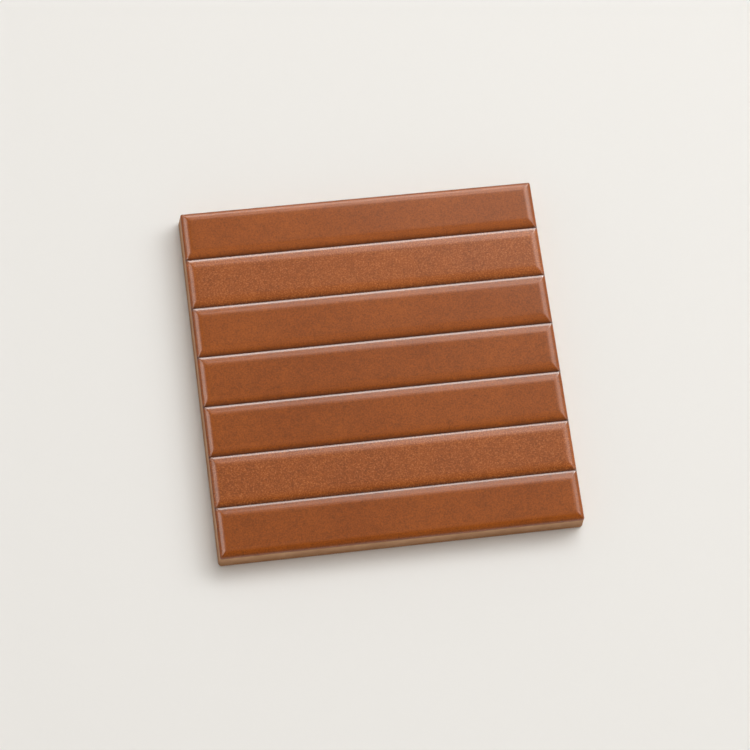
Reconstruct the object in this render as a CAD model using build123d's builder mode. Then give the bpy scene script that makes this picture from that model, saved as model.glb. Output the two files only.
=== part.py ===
"""Finger wall tile: a square pressed and glazed ceramic tile whose face is a row of bars.

The bars, called fingers, lie along X and follow each other along Y. Every finger has a flat top
that rolls over on all four sides. Two neighbours meet in a sharp valley, the false joint, and the
outer sides roll over further, down to the edge of the body. The sides of the body lean in towards
the face, so that the tile leaves its mould. The back carries the shallow grid of pockets that a
pressed wall tile keys into its adhesive with.

Millimetres. The tile lies on its back: +Z is up out of the glazed face, and the origin is at the
middle of the back.
"""

import os
from math import atan, cos, degrees, radians, sin, tan

from build123d import *

# Body
TILE_LENGTH = 150.0  # along the fingers, over the back
TILE_WIDTH = 150.0  # across the fingers, over the back
TILE_THICKNESS = 11.6  # from the back to the flat of a finger
SIDE_DRAFT = 4.5  # degrees that the sides lean in
CORNER_RADIUS = 1.6  # upright corners, at the back
BASE_RADIUS = 0.8  # edge between the sides and the back

# Fingers
FINGER_COUNT = 7
JOINT_REACH = 4.5  # from the valley of a false joint to the flat, seen from above
JOINT_DROP = 1.1  # from the flat down to the valley
EDGE_ROLL_RADIUS = 6.0  # roll-over of the outer sides
EDGE_ROLL_TURN = 37.0  # degrees that it turns down before the rim
RIM_RADIUS = 0.8  # rounding of the rim, from there to upright

# Key pockets of the back
POCKET_COUNT = 8  # along each side
POCKET_DEPTH = 0.6
POCKET_CORNER_RADIUS = 1.5
RIB_WIDTH = 3.0  # between two pockets
BORDER_WIDTH = 6.0  # plain margin around the grid

# Worked out from the sizes above
ROLL_SINE = sin(radians(EDGE_ROLL_TURN))
ROLL_COSINE = cos(radians(EDGE_ROLL_TURN))
EDGE_REACH = EDGE_ROLL_RADIUS * ROLL_SINE + RIM_RADIUS * (1 - ROLL_SINE)
EDGE_DROP = EDGE_ROLL_RADIUS * (1 - ROLL_COSINE) + RIM_RADIUS * ROLL_COSINE
EDGE_HEIGHT = TILE_THICKNESS - EDGE_DROP
EDGE_INSET = EDGE_HEIGHT * tan(radians(SIDE_DRAFT))
FACE_LENGTH = TILE_LENGTH - 2 * EDGE_INSET
FACE_WIDTH = TILE_WIDTH - 2 * EDGE_INSET
FLAT_LENGTH = FACE_LENGTH - 2 * EDGE_REACH
FLAT_WIDTH = (FACE_WIDTH - 2 * EDGE_REACH - 2 * (FINGER_COUNT - 1) * JOINT_REACH) / FINGER_COUNT
FINGER_PITCH = FLAT_WIDTH + 2 * JOINT_REACH
FIRST_FLAT = EDGE_REACH - FACE_WIDTH / 2
POCKET_PITCH_X = (TILE_LENGTH - 2 * BORDER_WIDTH + RIB_WIDTH) / POCKET_COUNT
POCKET_PITCH_Y = (TILE_WIDTH - 2 * BORDER_WIDTH + RIB_WIDTH) / POCKET_COUNT


def joint_roll(flat_end, side):
    """Draws the round arc that leaves a flat level at its end and falls to a valley.

    It rolls towards the positive side with side 1 and towards the negative side with side -1.
    """
    radius = (JOINT_REACH**2 + JOINT_DROP**2) / (2 * JOINT_DROP)
    turn = 2 * degrees(atan(JOINT_DROP / JOINT_REACH))
    JernArc((flat_end, TILE_THICKNESS), (side, 0), radius, -side * turn)


def edge_roll(flat_end, side):
    """Draws the roll-over that leaves a flat level and the rounding that ends upright on the edge."""
    roll = JernArc((flat_end, TILE_THICKNESS), (side, 0), EDGE_ROLL_RADIUS, -side * EDGE_ROLL_TURN)
    JernArc(roll @ 1, roll % 1, RIM_RADIUS, side * (EDGE_ROLL_TURN - 90))


def skirt(face_size):
    """Closes a section below its edges, well outside the leaning sides of the body."""
    edge = face_size / 2
    foot = edge + 2 * EDGE_HEIGHT
    Polyline((-edge, EDGE_HEIGHT), (-foot, -EDGE_HEIGHT), (foot, -EDGE_HEIGHT), (edge, EDGE_HEIGHT))


with BuildPart() as finger_tile:
    # Plain body with leaning sides, upright corners eased
    with BuildSketch(Plane.XY):
        RectangleRounded(TILE_LENGTH, TILE_WIDTH, CORNER_RADIUS)
    extrude(amount=TILE_THICKNESS, taper=SIDE_DRAFT)
    back = finger_tile.faces().sort_by(Axis.Z).first
    fillet(back.outer_wire().edges(), BASE_RADIUS)

    # Section across the fingers: flats and false joints, with a roll-over down to either edge
    with BuildSketch(Plane.YZ):
        with BuildLine():
            skirt(FACE_WIDTH)
            for finger in range(FINGER_COUNT):
                flat_start = FIRST_FLAT + finger * FINGER_PITCH
                flat_end = flat_start + FLAT_WIDTH
                Line((flat_start, TILE_THICKNESS), (flat_end, TILE_THICKNESS))
                if finger > 0:
                    joint_roll(flat_start, -1)
                if finger < FINGER_COUNT - 1:
                    joint_roll(flat_end, 1)
            edge_roll(FIRST_FLAT, -1)
            edge_roll(-FIRST_FLAT, 1)
        make_face()
    extrude(amount=TILE_LENGTH, both=True, mode=Mode.INTERSECT)

    # Section along the fingers: it rolls their ends over and leaves the mitres at their corners
    with BuildSketch(Plane.XZ):
        with BuildLine():
            skirt(FACE_LENGTH)
            Line((-FLAT_LENGTH / 2, TILE_THICKNESS), (FLAT_LENGTH / 2, TILE_THICKNESS))
            edge_roll(-FLAT_LENGTH / 2, -1)
            edge_roll(FLAT_LENGTH / 2, 1)
        make_face()
    extrude(amount=TILE_WIDTH, both=True, mode=Mode.INTERSECT)

    # Key pockets pressed into the back
    with BuildSketch(Plane.XY):
        with GridLocations(POCKET_PITCH_X, POCKET_PITCH_Y, POCKET_COUNT, POCKET_COUNT):
            RectangleRounded(
                POCKET_PITCH_X - RIB_WIDTH, POCKET_PITCH_Y - RIB_WIDTH, POCKET_CORNER_RADIUS
            )
    extrude(amount=POCKET_DEPTH, mode=Mode.SUBTRACT)

finger_tile.part.label = "finger_tile"
os.makedirs("parts", exist_ok=True)
export_step(finger_tile.part, "parts/finger_tile.step")
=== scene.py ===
"""Finger wall tile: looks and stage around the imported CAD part.

One fired piece, so one mesh. Geometry Nodes lay it out by the rule of the pressing die: a row of
fingers with level flats that roll over on all four sides. Metres, in the frame of the CAD part:
+X along the fingers, +Y across them, +Z up out of the glazed face.
"""

from math import asin, cos, pi, radians, sin, tan

import bpy
from bpy.props import (
    FloatProperty,
    FloatVectorProperty,
    IntProperty,
    PointerProperty,
)
from mathutils import Matrix, Vector


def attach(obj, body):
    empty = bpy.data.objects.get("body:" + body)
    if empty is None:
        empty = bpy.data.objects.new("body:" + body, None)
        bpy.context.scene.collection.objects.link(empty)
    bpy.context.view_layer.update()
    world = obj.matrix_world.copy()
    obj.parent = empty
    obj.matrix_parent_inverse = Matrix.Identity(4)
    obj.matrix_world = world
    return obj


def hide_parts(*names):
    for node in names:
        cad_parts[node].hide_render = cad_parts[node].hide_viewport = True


bl_info = {
    "name": "Finger wall tile",
    "version": (1, 0, 0),
    "blender": (4, 5, 0),
    "location": "View3D > Sidebar > Tile",
    "description": "Builds a glazed finger wall tile and the stage it is shown on",
    "category": "Object",
}

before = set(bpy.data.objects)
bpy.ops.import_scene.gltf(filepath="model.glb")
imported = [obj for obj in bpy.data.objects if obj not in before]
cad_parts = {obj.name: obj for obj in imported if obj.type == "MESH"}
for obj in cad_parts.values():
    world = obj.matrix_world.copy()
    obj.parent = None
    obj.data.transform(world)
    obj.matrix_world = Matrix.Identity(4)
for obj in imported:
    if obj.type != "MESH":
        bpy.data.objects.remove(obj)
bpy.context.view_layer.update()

CAD_NODE = "finger_tile"
CAD_BODY = "root"
MM = 0.001


def linear(code):
    """Linear RGBA of an sRGB colour written as six hex digits."""
    channels = [int(code[i : i + 2], 16) / 255 for i in (0, 2, 4)]
    return [c / 12.92 if c <= 0.04045 else ((c + 0.055) / 1.055) ** 2.4 for c in channels] + [1.0]


def size(label, millimetres, description):
    """Length property that is given in millimetres and kept in metres."""
    return FloatProperty(
        name=label,
        description=description,
        default=millimetres * MM,
        min=0,
        precision=5,
        unit="LENGTH",
    )


def colour(label, code, description):
    """Colour property that is given as an sRGB hex code."""
    return FloatVectorProperty(
        name=label,
        description=description,
        default=linear(code),
        size=4,
        min=0,
        max=1,
        subtype="COLOR",
    )


class TileSizes(bpy.types.PropertyGroup):
    """Sizes of the tile, the same as in the CAD part, with those of its glaze."""

    length: size("Length", 150, "Along the fingers, over the back")
    width: size("Width", 150, "Across the fingers, over the back")
    thickness: size("Thickness", 11.6, "From the back to the flat of a finger")
    draft: FloatProperty(
        name="Side draft",
        description="How far the sides lean in",
        default=radians(4.5),
        subtype="ANGLE",
    )
    corner_radius: size("Corner radius", 1.6, "Upright corners, at the back")
    base_radius: size("Base radius", 0.8, "Edge between the sides and the back")
    fingers: IntProperty(name="Fingers", description="How many bars", default=7, min=2)
    joint_reach: size("Joint reach", 4.5, "From a valley to the flat, seen from above")
    joint_drop: size("Joint drop", 1.1, "From the flat down to a valley")
    edge_roll: size("Edge roll radius", 6.0, "Roll-over of the outer sides")
    edge_turn: FloatProperty(
        name="Edge roll turn",
        description="How far the roll-over turns down before the rim",
        default=radians(37),
        subtype="ANGLE",
    )
    rim_radius: size("Rim radius", 0.8, "Rounding of the rim, from there to upright")
    # The pool width also sets how far painted shade darkens the glaze beside a valley
    pool_and_shade_width: size("Pool width", 1.8, "How far the glaze gathers beside a valley")
    mitre_softness: size("Mitre softness", 0.14, "How far the glaze rounds the mitres off")
    pockets: IntProperty(
        name="Pockets", description="Key pockets along each side", default=8, min=1
    )
    pocket_depth: size("Pocket depth", 0.6, "Depth of the key pockets")
    pocket_radius: size("Pocket corner radius", 1.5, "Corners of the key pockets")
    rib: size("Rib", 3, "Width of the ribs between the key pockets")
    border: size("Border", 6, "Plain margin around the key pockets")
    tone_seed: IntProperty(
        name="Tone seed", description="Picks how pale each finger is", default=1987, min=0
    )
    grain_seed: IntProperty(
        name="Grain seed", description="Picks how grainy each finger is", default=3392, min=0
    )


class TileColours(bpy.types.PropertyGroup):
    """Colours of the fired tile and of the stage."""

    glaze: colour("Glaze", "974d11", "Body of the glaze")
    glaze_deep: colour("Deep glaze", "8c450b", "Where the glaze lies thick")
    # The pooled glaze colour also carries painted shade in the valleys
    glaze_pool_and_shade: colour("Pooled glaze", "461a03", "Where the glaze gathers along the joints")
    glaze_pale: colour("Pale glaze", "b2723f", "Where the glaze breaks over grain")
    biscuit: colour("Biscuit", "c39a78", "Bare fired clay")
    # The dark biscuit colour serves both clouds of soil and painted shade towards the base
    biscuit_soil_and_shade: colour("Dark biscuit", "946a48", "Flashed and soiled clay")
    floor: colour("Floor", "eeeded", "Pale studio floor")
    lamp: colour("Lamps", "fcfefc", "Soft boxes, next to white")
    room: colour("Room", "f2e9dd", "Warm light that the room throws back")


def add(tree, kind, inputs=(), **settings):
    """Adds a node with its settings, then fills its inputs with constants or with links."""
    made = tree.nodes.new(kind)
    for name, value in settings.items():
        setattr(made, name, value)
    for key, value in dict(inputs).items():
        if isinstance(value, bpy.types.NodeSocket):
            tree.links.new(value, made.inputs[key])
        else:
            made.inputs[key].default_value = value
    return made


def maths(tree, operation, *values):
    """Result of a maths node, with constants or links as its values."""
    return add(tree, "ShaderNodeMath", enumerate(values), operation=operation).outputs[0]


def roll_over_group():
    """Node group that places a point on a finger: level on the flat, then out along the roll-over.

    Place runs from -1 to 1 across the finger. The share is the part of it that lies on the flat.
    """
    tree = bpy.data.node_groups.new("Roll-over", "GeometryNodeTree")
    for name in ("Place", "Flat Share", "Flat", "Radius", "Turn"):
        tree.interface.new_socket(name, in_out="INPUT", socket_type="NodeSocketFloat")
    tree.interface.new_socket("Offset", in_out="OUTPUT", socket_type="NodeSocketFloat")
    asked = add(tree, "NodeGroupInput").outputs
    place = maths(tree, "ABSOLUTE", asked["Place"])
    side = maths(tree, "SIGN", asked["Place"])
    half_flat = maths(tree, "MULTIPLY", asked["Flat"], 0.5)
    on_flat = add(
        tree,
        "ShaderNodeMapRange",
        {"Value": place, "From Max": asked["Flat Share"], "To Max": half_flat},
    ).outputs[0]
    turned = add(
        tree,
        "ShaderNodeMapRange",
        {"Value": place, "From Min": asked["Flat Share"], "To Max": asked["Turn"]},
    ).outputs[0]
    swung = maths(tree, "SINE", turned)
    out = maths(tree, "MULTIPLY_ADD", swung, asked["Radius"], on_flat)
    offset = maths(tree, "MULTIPLY", out, side)
    add(tree, "NodeGroupOutput", {"Offset": offset})
    return tree


def fall_group():
    """Node group that gives how far a finger lies below its flat at a distance from its middle."""
    tree = bpy.data.node_groups.new("Fall", "GeometryNodeTree")
    for name in ("Distance", "Flat", "Radius"):
        tree.interface.new_socket(name, in_out="INPUT", socket_type="NodeSocketFloat")
    tree.interface.new_socket("Fall", in_out="OUTPUT", socket_type="NodeSocketFloat")
    asked = add(tree, "NodeGroupInput").outputs
    distance = maths(tree, "ABSOLUTE", asked["Distance"])
    half_flat = maths(tree, "MULTIPLY", asked["Flat"], 0.5)
    past = maths(tree, "SUBTRACT", distance, half_flat)
    past = maths(tree, "MAXIMUM", past, 0.0)
    across = maths(tree, "POWER", past, 2.0)
    square = maths(tree, "POWER", asked["Radius"], 2.0)
    rise = maths(tree, "SUBTRACT", square, across)
    rise = maths(tree, "SQRT", rise)
    fall = maths(tree, "SUBTRACT", asked["Radius"], rise)
    add(tree, "NodeGroupOutput", {"Fall": fall})
    return tree


def rim_loops(sizes):
    """Loops that the sides are drawn through below the roll-over: pairs of outset and height.

    The outset is measured from the sharp lower edge of the body. The loops run round the rim, down
    the leaning side and round the base.
    """
    drop = sizes.edge_roll * (1 - cos(sizes.edge_turn)) + sizes.rim_radius * cos(sizes.edge_turn)
    edge_height = sizes.thickness - drop
    loops = []
    rim_centre = -edge_height * tan(sizes.draft) - sizes.rim_radius
    for step in range(RIM_STEPS + 1):
        angle = pi / 2 - sizes.edge_turn - step / RIM_STEPS * (pi / 2 - sizes.edge_turn)
        out_by = rim_centre + sizes.rim_radius * cos(angle)
        loops.append((out_by, edge_height + sizes.rim_radius * sin(angle)))
    base_centre = -sizes.base_radius * (1 + sin(sizes.draft)) / cos(sizes.draft)
    for step in range(BASE_STEPS + 1):
        angle = sizes.draft - step / BASE_STEPS * (pi / 2 + sizes.draft)
        out_by = base_centre + sizes.base_radius * cos(angle)
        loops.append((out_by, sizes.base_radius * (1 + sin(angle))))
    return loops


def tile_inputs(sizes):
    """Named inputs of the tile's node tree, worked out from the sizes."""
    outset = rim_loops(sizes)[0][0]
    face_length = sizes.length + 2 * outset
    face_width = sizes.width + 2 * outset
    valleys = sizes.fingers - 1
    edge_reach = sizes.edge_roll * sin(sizes.edge_turn)
    joint_radius = (sizes.joint_reach**2 + sizes.joint_drop**2) / (2 * sizes.joint_drop)
    flat = (face_width - 2 * edge_reach - 2 * valleys * sizes.joint_reach) / sizes.fingers
    grid = sizes.pockets
    return {
        "Fingers": sizes.fingers,
        "Thickness": sizes.thickness,
        "Face Length": face_length,
        "Face Width": face_width,
        "Face Corner Radius": sizes.corner_radius + outset,
        "Flat Length": face_length - 2 * edge_reach,
        "Flat Width": flat,
        "Pitch": flat + 2 * sizes.joint_reach,
        "Joint Radius": joint_radius,
        "Joint Turn": asin(sizes.joint_reach / joint_radius),
        "Edge Radius": sizes.edge_roll,
        "Edge Turn": sizes.edge_turn,
        "Pool And Shade Width": sizes.pool_and_shade_width,
        "Mitre Softness": sizes.mitre_softness,
        "Pockets": grid,
        "Pocket Pitch X": (sizes.length - 2 * sizes.border + sizes.rib) / grid,
        "Pocket Pitch Y": (sizes.width - 2 * sizes.border + sizes.rib) / grid,
        "Rib": sizes.rib,
        "Pocket Depth": sizes.pocket_depth,
        "Pocket Radius": sizes.pocket_radius,
        "Tone Seed": sizes.tone_seed,
        "Grain Seed": sizes.grain_seed,
    }


ROWS_A_FINGER = 40  # spans across one finger
ROW_FLAT_SHARE = 0.2  # share of them on the flat
COLUMNS = 80  # spans along a finger
COLUMN_FLAT_SHARE = 0.6  # share of them on the flat
RIM_STEPS = 4  # spans round the rim
BASE_STEPS = 4  # spans round the base
POCKET_CORNER_STEPS = 5  # points round the corner of a key pocket
LAST_ROW_HOLD = 0.001  # keeps the outermost row on the last finger
WELD_REACH = 0.002 * MM  # between points that are one point
CRISP_ANGLE = radians(50)  # edges that bend further keep a hard line
IN_PLAN = (1, 1, 0)  # flattens a vector


def tile_tree(sizes, glaze, biscuit):
    """Geometry Nodes tree of the whole tile: face, sides and keyed back."""
    tree = bpy.data.node_groups.new("Finger tile", "GeometryNodeTree")
    tree.interface.new_socket("Tile", in_out="OUTPUT", socket_type="NodeSocketGeometry")
    for name, value in tile_inputs(sizes).items():
        kind = "NodeSocketInt" if isinstance(value, int) else "NodeSocketFloat"
        tree.interface.new_socket(name, in_out="INPUT", socket_type=kind)
    asked = add(tree, "NodeGroupInput").outputs
    roll_over = roll_over_group()
    fall_of = fall_group()

    # Grid of the face: X from -1 to 1, Y one unit for each finger
    rows = maths(tree, "MULTIPLY_ADD", asked["Fingers"], ROWS_A_FINGER, 1.0)
    grid = add(
        tree,
        "GeometryNodeMeshGrid",
        {"Size X": 2.0, "Size Y": asked["Fingers"], "Vertices X": COLUMNS + 1, "Vertices Y": rows},
    ).outputs["Mesh"]
    spot = add(tree, "GeometryNodeInputPosition").outputs[0]
    on_grid = add(tree, "ShaderNodeSeparateXYZ", {0: spot}).outputs

    # Which finger a point is on, and where across it
    half = maths(tree, "MULTIPLY", asked["Fingers"], 0.5)
    along = maths(tree, "ADD", on_grid["Y"], half)
    last = maths(tree, "SUBTRACT", asked["Fingers"], LAST_ROW_HOLD)
    capped = maths(tree, "MINIMUM", along, last)
    finger = maths(tree, "FLOOR", capped)
    part = maths(tree, "SUBTRACT", along, finger)
    place = maths(tree, "MULTIPLY_ADD", part, 2.0, -1.0)
    off_middle = maths(tree, "ABSOLUTE", on_grid["Y"])
    outer_half = maths(tree, "SUBTRACT", half, 0.5)
    outer = maths(tree, "GREATER_THAN", off_middle, outer_half)
    radius = add(
        tree, "ShaderNodeMix", {0: outer, 2: asked["Joint Radius"], 3: asked["Edge Radius"]}
    ).outputs[0]
    turn = add(
        tree, "ShaderNodeMix", {0: outer, 2: asked["Joint Turn"], 3: asked["Edge Turn"]}
    ).outputs[0]

    # Place in plan, then the upright corners eased
    x = add(
        tree,
        "GeometryNodeGroup",
        {
            "Place": on_grid["X"],
            "Flat Share": COLUMN_FLAT_SHARE,
            "Flat": asked["Flat Length"],
            "Radius": asked["Edge Radius"],
            "Turn": asked["Edge Turn"],
        },
        node_tree=roll_over,
    ).outputs[0]
    offset = add(
        tree,
        "GeometryNodeGroup",
        {
            "Place": place,
            "Flat Share": ROW_FLAT_SHARE,
            "Flat": asked["Flat Width"],
            "Radius": radius,
            "Turn": turn,
        },
        node_tree=roll_over,
    ).outputs[0]
    centre_step = maths(tree, "SUBTRACT", finger, outer_half)
    centre = maths(tree, "MULTIPLY", centre_step, asked["Pitch"])
    y = maths(tree, "ADD", centre, offset)
    plan = add(tree, "ShaderNodeCombineXYZ", {"X": x, "Y": y}).outputs[0]
    core = add(
        tree, "ShaderNodeCombineXYZ", {"X": asked["Face Length"], "Y": asked["Face Width"]}
    ).outputs[0]
    core = add(tree, "ShaderNodeVectorMath", {0: core, "Scale": 0.5}, operation="SCALE").outputs[0]
    core = add(
        tree,
        "ShaderNodeVectorMath",
        {0: core, 1: asked["Face Corner Radius"]},
        operation="SUBTRACT",
    ).outputs[0]
    core_low = add(
        tree, "ShaderNodeVectorMath", {0: core, "Scale": -1.0}, operation="SCALE"
    ).outputs[0]
    inner = add(tree, "ShaderNodeVectorMath", {0: plan, 1: core}, operation="MINIMUM").outputs[0]
    inner = add(
        tree, "ShaderNodeVectorMath", {0: inner, 1: core_low}, operation="MAXIMUM"
    ).outputs[0]
    inner = add(
        tree, "ShaderNodeVectorMath", {0: inner, 1: IN_PLAN}, operation="MULTIPLY"
    ).outputs[0]
    beyond = add(tree, "ShaderNodeVectorMath", {0: plan, 1: inner}, operation="SUBTRACT").outputs[0]
    length = add(tree, "ShaderNodeVectorMath", {0: beyond}, operation="LENGTH").outputs["Value"]
    kept = maths(tree, "MINIMUM", length, asked["Face Corner Radius"])
    outward = add(tree, "ShaderNodeVectorMath", {0: beyond}, operation="NORMALIZE").outputs[0]
    eased = add(
        tree, "ShaderNodeVectorMath", {0: outward, "Scale": kept}, operation="SCALE"
    ).outputs[0]
    plan = add(tree, "ShaderNodeVectorMath", {0: inner, 1: eased}, operation="ADD").outputs[0]
    in_plan = add(tree, "ShaderNodeSeparateXYZ", {0: plan}).outputs

    # Height: the deeper of the two falls, with the mitre between them softened
    fall_along = add(
        tree,
        "GeometryNodeGroup",
        {"Distance": in_plan["X"], "Flat": asked["Flat Length"], "Radius": asked["Edge Radius"]},
        node_tree=fall_of,
    ).outputs[0]
    off_centre = maths(tree, "SUBTRACT", in_plan["Y"], centre)
    fall_across = add(
        tree,
        "GeometryNodeGroup",
        {"Distance": off_centre, "Flat": asked["Flat Width"], "Radius": radius},
        node_tree=fall_of,
    ).outputs[0]
    shallow = maths(tree, "MINIMUM", fall_along, fall_across)
    soft = maths(tree, "MINIMUM", shallow, asked["Mitre Softness"])
    fall = maths(tree, "SMOOTH_MAX", fall_along, fall_across, soft)
    z = maths(tree, "SUBTRACT", asked["Thickness"], fall)
    target = add(
        tree, "ShaderNodeCombineXYZ", {"X": in_plan["X"], "Y": in_plan["Y"], "Z": z}
    ).outputs[0]

    # Each finger takes its own tone and grain from the kiln
    toned = grid
    for name, seed in (("tone", asked["Tone Seed"]), ("grain", asked["Grain Seed"])):
        chance = add(
            tree, "FunctionNodeRandomValue", {"ID": finger, "Seed": seed}, data_type="FLOAT"
        ).outputs["Value"]
        toned = add(
            tree,
            "GeometryNodeStoreNamedAttribute",
            {"Geometry": toned, "Name": name, "Value": chance},
            data_type="FLOAT",
            domain="FACE",
        ).outputs[0]

    # Height below the flat, which places the painted sheen on the shoulders, and nearness to a
    # joint, where the glaze has run together and painted shade darkens it
    from_flat = maths(tree, "ABSOLUTE", offset)
    half_pitch = maths(tree, "MULTIPLY", asked["Pitch"], 0.5)
    dry = maths(tree, "SUBTRACT", half_pitch, asked["Pool And Shade Width"])
    pool_and_shade = add(
        tree, "ShaderNodeMapRange", {"Value": from_flat, "From Min": dry, "From Max": half_pitch}
    ).outputs[0]
    for name, value in (("fall", fall), ("pool_and_shade", pool_and_shade)):
        toned = add(
            tree,
            "GeometryNodeStoreNamedAttribute",
            {"Geometry": toned, "Name": name, "Value": value},
            data_type="FLOAT",
            domain="POINT",
        ).outputs[0]
    shell = add(tree, "GeometryNodeSetPosition", {"Geometry": toned, "Position": target}).outputs[0]

    # Sides: the outline of the face, drawn round the rim, down the leaning sides and round the base
    neighbours = add(tree, "GeometryNodeInputMeshEdgeNeighbors").outputs[0]
    rim = add(
        tree, "FunctionNodeCompare", {2: neighbours, 3: 1}, data_type="INT", operation="EQUAL"
    ).outputs[0]
    here = add(tree, "ShaderNodeVectorMath", {0: spot, 1: IN_PLAN}, operation="MULTIPLY").outputs[0]
    held = add(tree, "ShaderNodeVectorMath", {0: here, 1: core}, operation="MINIMUM").outputs[0]
    held = add(tree, "ShaderNodeVectorMath", {0: held, 1: core_low}, operation="MAXIMUM").outputs[0]
    held = add(tree, "ShaderNodeVectorMath", {0: held, 1: IN_PLAN}, operation="MULTIPLY").outputs[0]
    out_of_core = add(
        tree, "ShaderNodeVectorMath", {0: here, 1: held}, operation="SUBTRACT"
    ).outputs[0]
    outward = add(tree, "ShaderNodeVectorMath", {0: out_of_core}, operation="NORMALIZE").outputs[0]
    loops = rim_loops(sizes)
    for (pulled, _), (out_by, height) in zip(loops, loops[1:]):
        drawn = add(
            tree,
            "GeometryNodeExtrudeMesh",
            {"Mesh": shell, "Selection": rim, "Offset Scale": 0.0},
            mode="EDGES",
        ).outputs
        push = add(
            tree, "ShaderNodeVectorMath", {0: outward, "Scale": out_by - pulled}, operation="SCALE"
        ).outputs[0]
        pushed = add(tree, "ShaderNodeVectorMath", {0: here, 1: push}, operation="ADD").outputs[0]
        level = add(tree, "ShaderNodeCombineXYZ", {"Z": height}).outputs[0]
        pushed = add(
            tree, "ShaderNodeVectorMath", {0: pushed, 1: level}, operation="ADD"
        ).outputs[0]
        shell = add(
            tree,
            "GeometryNodeSetPosition",
            {"Geometry": drawn["Mesh"], "Selection": drawn["Top"], "Position": pushed},
        ).outputs[0]
        rim = drawn["Top"]

    # Back: the plane inside the base loop, with the key pockets left open and then pressed in
    pocket_x = maths(tree, "SUBTRACT", asked["Pocket Pitch X"], asked["Rib"])
    pocket_y = maths(tree, "SUBTRACT", asked["Pocket Pitch Y"], asked["Rib"])
    outline = add(
        tree, "GeometryNodeCurvePrimitiveQuadrilateral", {"Width": pocket_x, "Height": pocket_y}
    ).outputs[0]
    outline = add(
        tree,
        "GeometryNodeFilletCurve",
        {"Curve": outline, "Count": POCKET_CORNER_STEPS, "Radius": asked["Pocket Radius"]},
        mode="POLY",
    ).outputs[0]
    spans = maths(tree, "SUBTRACT", asked["Pockets"], 1.0)
    span_x = maths(tree, "MULTIPLY", spans, asked["Pocket Pitch X"])
    span_y = maths(tree, "MULTIPLY", spans, asked["Pocket Pitch Y"])
    places = add(
        tree,
        "GeometryNodeMeshGrid",
        {
            "Size X": span_x,
            "Size Y": span_y,
            "Vertices X": asked["Pockets"],
            "Vertices Y": asked["Pockets"],
        },
    ).outputs["Mesh"]
    openings = add(
        tree, "GeometryNodeInstanceOnPoints", {"Points": places, "Instance": outline}
    ).outputs[0]
    openings = add(tree, "GeometryNodeRealizeInstances", {"Geometry": openings}).outputs[0]
    base_loop = add(tree, "GeometryNodeMeshToCurve", {"Mesh": shell, "Selection": rim}).outputs[0]
    bounds = add(tree, "GeometryNodeJoinGeometry")
    tree.links.new(openings, bounds.inputs[0])
    tree.links.new(base_loop, bounds.inputs[0])
    plane = add(tree, "GeometryNodeFillCurve", {"Curve": bounds.outputs[0]}).outputs[0]
    plane = add(tree, "GeometryNodeFlipFaces", {"Mesh": plane}).outputs[0]
    floor = add(tree, "GeometryNodeFillCurve", {"Curve": outline}, mode="NGONS").outputs[0]
    floor = add(tree, "GeometryNodeFlipFaces", {"Mesh": floor}).outputs[0]
    depth = add(tree, "ShaderNodeCombineXYZ", {"Z": asked["Pocket Depth"]}).outputs[0]
    pocket = add(
        tree,
        "GeometryNodeExtrudeMesh",
        {"Mesh": floor, "Offset": depth, "Individual": False},
        mode="FACES",
    ).outputs["Mesh"]
    pockets = add(
        tree, "GeometryNodeInstanceOnPoints", {"Points": places, "Instance": pocket}
    ).outputs[0]

    # One closed mesh, smooth but for the valleys and the edges of the pockets, glazed above the rim
    whole = add(tree, "GeometryNodeJoinGeometry")
    for piece in (pockets, plane, shell):
        tree.links.new(piece, whole.inputs[0])
    whole = add(tree, "GeometryNodeRealizeInstances", {"Geometry": whole.outputs[0]}).outputs[0]
    whole = add(
        tree, "GeometryNodeMergeByDistance", {"Geometry": whole, "Distance": WELD_REACH}
    ).outputs[0]
    whole = add(tree, "GeometryNodeSetShadeSmooth", {"Geometry": whole}).outputs[0]
    bend = add(tree, "GeometryNodeInputMeshEdgeAngle").outputs["Unsigned Angle"]
    crisp = add(
        tree,
        "FunctionNodeCompare",
        {0: bend, 1: CRISP_ANGLE},
        data_type="FLOAT",
        operation="GREATER_THAN",
    ).outputs[0]
    whole = add(
        tree,
        "GeometryNodeSetShadeSmooth",
        {"Geometry": whole, "Selection": crisp, "Shade Smooth": False},
        domain="EDGE",
    ).outputs[0]
    height = add(tree, "ShaderNodeSeparateXYZ", {0: spot}).outputs["Z"]
    glazed = add(
        tree,
        "FunctionNodeCompare",
        {0: height, 1: loops[RIM_STEPS][1]},
        data_type="FLOAT",
        operation="GREATER_THAN",
    ).outputs[0]
    whole = add(
        tree, "GeometryNodeSetMaterial", {"Geometry": whole, "Material": biscuit}
    ).outputs[0]
    whole = add(
        tree, "GeometryNodeSetMaterial", {"Geometry": whole, "Selection": glazed, "Material": glaze}
    ).outputs[0]
    add(tree, "NodeGroupOutput", {"Tile": whole})
    return tree


def new_material(name):
    """Empty node material and its tree, with the principled shader already wired to the output."""
    material = bpy.data.materials.new(name)
    material.use_nodes = True
    tree = material.node_tree
    tree.nodes.clear()
    shader = add(tree, "ShaderNodeBsdfPrincipled")
    add(tree, "ShaderNodeOutputMaterial", {"Surface": shader.outputs[0]})
    return material, tree, shader


# Glaze: the sizes of its patterns
CLOUD_SIZE = 30 * MM
MOTTLE_SIZE = 3.2 * MM
GRAIN_SIZE = 0.6 * MM
PEEL_SIZE = 3.5 * MM
PEEL_DEPTH = 0.06 * MM

# Glaze: how far its level swings about 1
TONE_LOW, TONE_HIGH = 0.92, 1.08  # from finger to finger
MOTTLE_SWING = 0.11
GRAIN_LOW, GRAIN_HIGH = 1.25, 1.5  # on the smoothest and the grainiest finger
PALE_SHARE = 0.45  # of pale glaze in the specks of the grainiest finger

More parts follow.
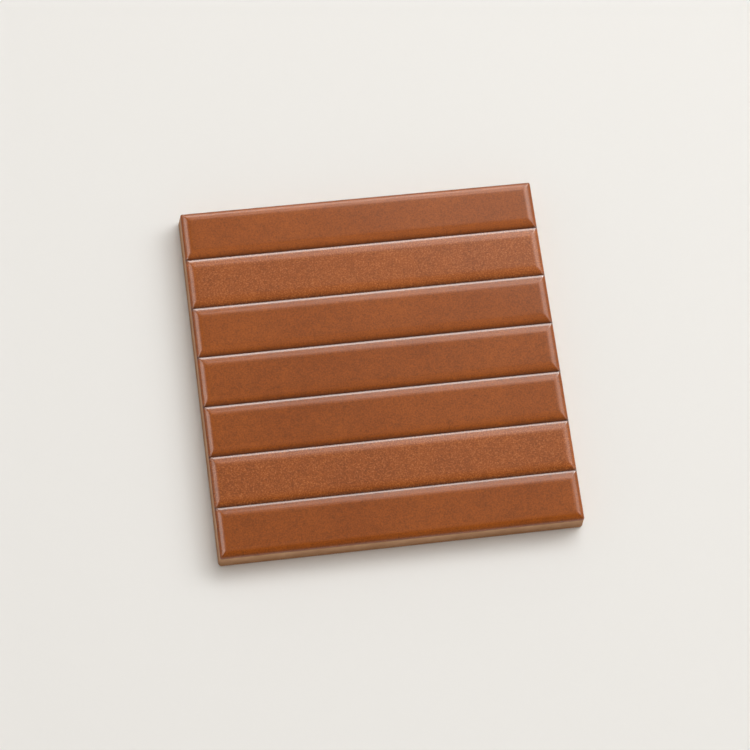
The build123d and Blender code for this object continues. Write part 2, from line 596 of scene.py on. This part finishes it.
# Glaze: a painted sheen over a shoulder, how far below the flat it lies and how much paler it makes
# the glaze there
SHOULDER_STARTS = 0.04 * MM
SHOULDER_FADES = 0.16 * MM
SHOULDER_ENDS = 0.48 * MM
SHOULDER_SHEEN_GAIN = 0.09

# Glaze: how it gathers along a joint, with painted shade, where the pool runs from 0 at its edge to
# 1 in the valley
POOL_SHADE_CURVE = 1.8  # how late its dark colour sets in
SKIN_STARTS, SKIN_FULL = 0.33, 0.48  # of the pool, where the glassy skin thickens
SKIN_FADES, SKIN_GONE = 0.70, 0.93  # of the pool, where it thins again towards the valley
SKIN_THIN, SKIN_THICK = 0.12, 0.78
SKIN_LEFT = 0.05  # share of the skin that stays in the valley


def glaze_material(colours):
    """Iron glaze, poured and fired to a satin gloss: a deep red brown that pools and breaks, with
    painted shade along the joints and a painted sheen over the shoulders.
    """
    material, tree, shader = new_material("iron_glaze_fired_satin")
    place = add(tree, "ShaderNodeTexCoord").outputs["Object"]
    tone = add(tree, "ShaderNodeAttribute", attribute_name="tone").outputs["Fac"]
    grain = add(tree, "ShaderNodeAttribute", attribute_name="grain").outputs["Fac"]
    pool_and_shade = add(tree, "ShaderNodeAttribute", attribute_name="pool_and_shade").outputs["Fac"]
    fall = add(tree, "ShaderNodeAttribute", attribute_name="fall").outputs["Fac"]

    # Slow clouds of thicker and thinner glaze
    clouds = add(
        tree,
        "ShaderNodeTexNoise",
        {"Vector": place, "Scale": 1 / CLOUD_SIZE, "Detail": 3.0, "Roughness": 0.5},
    ).outputs[0]
    cloud = add(
        tree, "ShaderNodeMapRange", {"Value": clouds, "From Min": 0.3, "From Max": 0.7}
    ).outputs[0]
    body = add(
        tree,
        "ShaderNodeMix",
        {0: cloud, 6: colours.glaze_deep, 7: colours.glaze},
        data_type="RGBA",
    ).outputs[2]
    # Pooled glaze and painted shade: the glaze darkens towards each valley
    pooled_and_shaded = maths(tree, "POWER", pool_and_shade, POOL_SHADE_CURVE)
    body = add(
        tree, "ShaderNodeMix", {0: pooled_and_shaded, 6: body, 7: colours.glaze_pool_and_shade}, data_type="RGBA"
    ).outputs[2]

    # Fine grain of the fired glaze, under a millimetre across, strong on some fingers only
    specks = add(
        tree,
        "ShaderNodeTexNoise",
        {"Vector": place, "Scale": 1 / GRAIN_SIZE, "Detail": 2.0, "Roughness": 0.6},
    ).outputs[0]
    grainy = add(
        tree, "ShaderNodeMapRange", {"Value": grain, "From Min": 0.3, "From Max": 0.9}
    ).outputs[0]
    speck = add(
        tree, "ShaderNodeMapRange", {"Value": specks, "From Min": 0.5, "From Max": 0.8}
    ).outputs[0]
    pale = maths(tree, "MULTIPLY", grainy, PALE_SHARE)
    speck = maths(tree, "MULTIPLY", speck, pale)
    broken = add(
        tree, "ShaderNodeMix", {0: speck, 6: body, 7: colours.glaze_pale}, data_type="RGBA"
    ).outputs[2]
    swing = add(
        tree, "ShaderNodeMapRange", {"Value": grainy, "To Min": GRAIN_LOW, "To Max": GRAIN_HIGH}
    ).outputs[0]
    off_mean = maths(tree, "SUBTRACT", specks, 0.5)

    # Tone of the whole finger, mottled over a few millimetres, which the grain swings about
    mottle = add(
        tree,
        "ShaderNodeTexNoise",
        {"Vector": place, "Scale": 1 / MOTTLE_SIZE, "Detail": 3.0, "Roughness": 0.6},
    ).outputs[0]
    mottle = add(
        tree,
        "ShaderNodeMapRange",
        {
            "Value": mottle,
            "From Min": 0.25,
            "From Max": 0.75,
            "To Min": -MOTTLE_SWING,
            "To Max": MOTTLE_SWING,
        },
    ).outputs[0]
    level = add(
        tree, "ShaderNodeMapRange", {"Value": tone, "To Min": TONE_LOW, "To Max": TONE_HIGH}
    ).outputs[0]
    level = maths(tree, "ADD", level, mottle)

    # Painted sheen, paler over the shoulders, from the end of the flat to half a millimetre below
    # it
    turning = add(
        tree, "ShaderNodeMapRange", {"Value": fall, "From Max": SHOULDER_STARTS}
    ).outputs[0]
    ending = add(
        tree,
        "ShaderNodeMapRange",
        {"Value": fall, "From Min": SHOULDER_ENDS, "From Max": SHOULDER_FADES},
    ).outputs[0]
    shoulder_sheen = maths(tree, "MULTIPLY", turning, ending)
    level = maths(tree, "MULTIPLY_ADD", shoulder_sheen, SHOULDER_SHEEN_GAIN, level)
    level = maths(tree, "MULTIPLY_ADD", off_mean, swing, level)
    toned = add(
        tree, "ShaderNodeVectorMath", {0: broken, "Scale": level}, operation="SCALE"
    ).outputs[0]
    tree.links.new(toned, shader.inputs["Base Color"])

    # Satin body under a thin glassy skin, thick along the joints but not in the valley itself
    rough = add(
        tree, "ShaderNodeMapRange", {"Value": grainy, "To Min": 0.28, "To Max": 0.33}
    ).outputs[0]
    tree.links.new(rough, shader.inputs["Roughness"])
    shader.inputs["IOR"].default_value = 1.52
    shader.inputs["Specular IOR Level"].default_value = 0.26
    gathered = add(
        tree,
        "ShaderNodeMapRange",
        {
            "Value": pool_and_shade,
            "From Min": SKIN_STARTS,
            "From Max": SKIN_FULL,
            "To Min": SKIN_THIN,
            "To Max": SKIN_THICK,
        },
    ).outputs[0]
    open_skin = add(
        tree,
        "ShaderNodeMapRange",
        {"Value": pool_and_shade, "From Min": SKIN_GONE, "From Max": SKIN_FADES, "To Min": SKIN_LEFT},
    ).outputs[0]
    skin = maths(tree, "MULTIPLY", gathered, open_skin)
    tree.links.new(skin, shader.inputs["Coat Weight"])
    shader.inputs["Coat Roughness"].default_value = 0.06

    # Orange peel of the fired surface, with the grain standing a little proud
    peel = add(
        tree, "ShaderNodeTexNoise", {"Vector": place, "Scale": 1 / PEEL_SIZE, "Detail": 2.0}
    ).outputs[0]
    relief = maths(tree, "MULTIPLY_ADD", speck, 0.5, peel)
    bump = add(
        tree, "ShaderNodeBump", {"Height": relief, "Strength": 0.25, "Distance": PEEL_DEPTH}
    ).outputs[0]
    tree.links.new(bump, shader.inputs["Normal"])
    return material


# Biscuit: the sizes of its patterns, and where the glaze laps over it, from the edge of the rim
SOIL_SIZE = 6 * MM
SAND_SIZE = 0.7 * MM
SAND_DEPTH = 0.2 * MM
LAP_SWING = 1.2 * MM
LAP_BELOW = 0.40 * MM
LAP_ABOVE = 0.15 * MM


def biscuit_material(colours, rim):
    """Bare biscuit, dry pressed: matt sandy clay, soiled in clouds and darkened by painted shade
    towards the base, with a ragged glaze edge.
    """
    material, tree, shader = new_material("biscuit_clay_dry_pressed")
    place = add(tree, "ShaderNodeTexCoord").outputs["Object"]
    height = add(tree, "ShaderNodeSeparateXYZ", {0: place}).outputs["Z"]
    clouds = add(
        tree,
        "ShaderNodeTexNoise",
        {"Vector": place, "Scale": 1 / SOIL_SIZE, "Detail": 4.0, "Roughness": 0.65},
    ).outputs[0]
    # Painted shade: the clay darkens from nine tenths of the rim height down to a tenth of it
    painted_base_shade = add(
        tree, "ShaderNodeMapRange", {"Value": height, "From Min": 0.9 * rim, "From Max": 0.1 * rim}
    ).outputs[0]
    soil_and_shade = maths(tree, "ADD", clouds, painted_base_shade)
    soil_and_shade = add(
        tree, "ShaderNodeMapRange", {"Value": soil_and_shade, "From Min": 0.4, "From Max": 1.4}
    ).outputs[0]
    clay = add(
        tree,
        "ShaderNodeMix",
        {0: soil_and_shade, 6: colours.biscuit, 7: colours.biscuit_soil_and_shade},
        data_type="RGBA",
    ).outputs[2]

    # The glaze laps a fraction of a millimetre over the rim, in a ragged line
    lap = maths(tree, "MULTIPLY_ADD", clouds, LAP_SWING, height)
    lap = add(
        tree,
        "ShaderNodeMapRange",
        {"Value": lap, "From Min": rim - LAP_BELOW, "From Max": rim + LAP_ABOVE},
    ).outputs[0]
    edged = add(
        tree, "ShaderNodeMix", {0: lap, 6: clay, 7: colours.glaze_deep}, data_type="RGBA"
    ).outputs[2]
    tree.links.new(edged, shader.inputs["Base Color"])
    rough = add(
        tree, "ShaderNodeMapRange", {"Value": lap, "To Min": 0.9, "To Max": 0.45}
    ).outputs[0]
    tree.links.new(rough, shader.inputs["Roughness"])
    shader.inputs["Specular IOR Level"].default_value = 0.25
    sand = add(
        tree, "ShaderNodeTexNoise", {"Vector": place, "Scale": 1 / SAND_SIZE, "Detail": 3.0}
    ).outputs[0]
    bump = add(
        tree, "ShaderNodeBump", {"Height": sand, "Strength": 0.5, "Distance": SAND_DEPTH}
    ).outputs[0]
    tree.links.new(bump, shader.inputs["Normal"])
    return material


class TILE_OT_finger_tile(bpy.types.Operator):
    """Build the tile by the rule of its die and let it stand for the CAD solid"""

    bl_idname = "tile.finger_tile"
    bl_label = "Finger tile"

    def execute(self, context):
        sizes = context.scene.tile_sizes
        colours = context.scene.tile_colours
        rim = rim_loops(sizes)[RIM_STEPS][1]
        tree = tile_tree(sizes, glaze_material(colours), biscuit_material(colours, rim))
        blank = bpy.data.meshes.new("tile")
        tile = bpy.data.objects.new("tile", blank)
        context.scene.collection.objects.link(tile)
        modifier = tile.modifiers.new("Finger tile", "NODES")
        modifier.node_group = tree
        values = tile_inputs(sizes)
        for item in tree.interface.items_tree:
            if item.in_out == "INPUT":
                modifier[item.identifier] = values[item.name]
        tile.update_tag()
        context.view_layer.update()
        built = tile.evaluated_get(context.evaluated_depsgraph_get())
        mesh = bpy.data.meshes.new_from_object(built)
        tile.modifiers.remove(modifier)
        tile.data = mesh
        bpy.data.meshes.remove(blank)
        mesh.materials.pop(index=0)  # the empty slot of the blank
        mesh.name = "tile"
        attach(tile, CAD_BODY)
        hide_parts(CAD_NODE)
        return {"FINISHED"}


CAMERA_PLACE = Vector((-0.12645, -0.31824, 0.98796))
CAMERA_AIM = Vector((-0.0025, -0.0041, 0.010))
CAMERA_ROLL = radians(14.7)
CAMERA_LENS = 120.98  # millimetres
CAMERA_FRAME = 36  # millimetres

# The floor is open under the tile, so that the keyed back shows from below
FLOOR_REACH = 3.0
FLOOR_LAP = 1.2 * MM  # of the floor under the edge of the tile
FLOOR_GAP = 0.03 * MM

# Soft boxes: name, place, width, height, radiance (1 is a white surface in full light), whether the
# box lights the scene and whether it shows in the gloss. A card shows in the gloss only.
SOFT_BOXES = (
    ("key", (1.35, 2.30, 2.95), 2.60, 1.60, 4.55, True, True),
    ("right", (2.85, 1.05, 2.42), 1.90, 1.80, 4.45, True, True),
    ("sky", (0.30, 0.60, 3.60), 3.00, 3.00, 1.03, True, False),
    ("back_card", (0.20, 4.00, 1.72), 5.00, 1.20, 8.2, False, True),
    ("wall_card", (0.20, 4.00, 2.75), 5.00, 0.80, 1.3, False, True),
    ("corner_card", (2.90, 3.10, 2.80), 1.10, 1.40, 36.0, False, True),
    ("top_card", (1.35, 1.90, 3.40), 1.70, 1.80, 1.4, False, True),
    ("left_card", (-2.60, 1.22, 2.80), 1.70, 1.70, 7.3, False, True),
    ("front_card", (0.00, -0.25, 3.60), 3.00, 1.70, 0.42, False, True),
)
WALL_LEVEL = 0.95  # the room is pale round the horizon
CEILING_SINE = 0.90  # and at its darkest above this sine of the elevation
CEILING_LEVEL = 0.24


class TILE_OT_stage(bpy.types.Operator):
    """Lay the pale floor, hang the soft boxes and set the camera at the photograph's angle"""

    bl_idname = "tile.stage"
    bl_label = "Stage"

    def execute(self, context):
        scene = context.scene
        colours = scene.tile_colours
        mesh = bpy.data.meshes.new("floor")
        sizes = scene.tile_sizes
        open_x = sizes.length / 2 - FLOOR_LAP
        open_y = sizes.width / 2 - FLOOR_LAP
        corners = [
            (x * side, y * upper, -FLOOR_GAP)
            for x, y in ((FLOOR_REACH, FLOOR_REACH), (open_x, open_y))
            for side, upper in ((-1, -1), (1, -1), (1, 1), (-1, 1))
        ]
        strips = [(i, (i + 1) % 4, 4 + (i + 1) % 4, 4 + i) for i in range(4)]
        mesh.from_pydata(corners, [], strips)
        floor = bpy.data.objects.new("floor", mesh)
        scene.collection.objects.link(floor)
        material, _, shader = new_material("matt_paper_floor")
        shader.inputs["Base Color"].default_value = colours.floor
        shader.inputs["Roughness"].default_value = 0.95
        shader.inputs["Specular IOR Level"].default_value = 0.1
        mesh.materials.append(material)

        for name, place, wide, high, radiance, lights, shows in SOFT_BOXES:
            lamp = bpy.data.lights.new(name, "AREA")
            lamp.shape = "RECTANGLE"
            lamp.size = wide
            lamp.size_y = high
            lamp.energy = radiance * pi * wide * high
            lamp.color = colours.lamp[:3]
            box = bpy.data.objects.new(name, lamp)
            box.visible_diffuse = lights
            box.visible_glossy = shows
            box.location = place
            box.rotation_mode = "QUATERNION"
            box.rotation_quaternion = (-Vector(place)).to_track_quat("-Z", "Y")
            scene.collection.objects.link(box)

        world = bpy.data.worlds.new("studio")
        world.use_nodes = True
        tree = world.node_tree
        tree.nodes.clear()
        looking = add(tree, "ShaderNodeTexCoord").outputs["Generated"]
        rise = add(tree, "ShaderNodeSeparateXYZ", {0: looking}).outputs["Z"]
        level = add(
            tree,
            "ShaderNodeMapRange",
            {
                "Value": rise,
                "From Max": CEILING_SINE,
                "To Min": WALL_LEVEL,
                "To Max": CEILING_LEVEL,
            },
        ).outputs[0]
        room = add(tree, "ShaderNodeBackground", {"Color": colours.room, "Strength": level})
        add(tree, "ShaderNodeOutputWorld", {"Surface": room.outputs[0]})
        scene.world = world

        data = bpy.data.cameras.new("camera")
        data.lens = CAMERA_LENS
        data.sensor_width = CAMERA_FRAME
        camera = bpy.data.objects.new("camera", data)
        moved = Matrix.Translation(CAMERA_PLACE)
        turn = (CAMERA_AIM - CAMERA_PLACE).to_track_quat("-Z", "Y").to_matrix().to_4x4()
        camera.matrix_world = moved @ turn @ Matrix.Rotation(CAMERA_ROLL, 4, "Z")
        scene.collection.objects.link(camera)
        scene.camera = camera
        scene.view_settings.view_transform = "Standard"
        return {"FINISHED"}


class TILE_PT_panel(bpy.types.Panel):
    """Sizes, colours and the buttons that build the tile and its stage"""

    bl_idname = "TILE_PT_panel"
    bl_label = "Finger wall tile"
    bl_space_type = "VIEW_3D"
    bl_region_type = "UI"
    bl_category = "Tile"

    def draw(self, context):
        for group in (context.scene.tile_sizes, context.scene.tile_colours):
            column = self.layout.column(align=True)
            for name in group.bl_rna.properties.keys():
                if name not in {"rna_type", "name"}:
                    column.prop(group, name)
        self.layout.operator(TILE_OT_finger_tile.bl_idname)
        self.layout.operator(TILE_OT_stage.bl_idname)


CLASSES = (TileSizes, TileColours, TILE_OT_finger_tile, TILE_OT_stage, TILE_PT_panel)


def register():
    for cls in CLASSES:
        bpy.utils.register_class(cls)
    bpy.types.Scene.tile_sizes = PointerProperty(type=TileSizes)
    bpy.types.Scene.tile_colours = PointerProperty(type=TileColours)


def unregister():
    del bpy.types.Scene.tile_colours
    del bpy.types.Scene.tile_sizes
    for cls in reversed(CLASSES):
        bpy.utils.unregister_class(cls)


def main():
    register()
    bpy.ops.tile.finger_tile()
    bpy.ops.tile.stage()


if __name__ == "__main__":
    main()
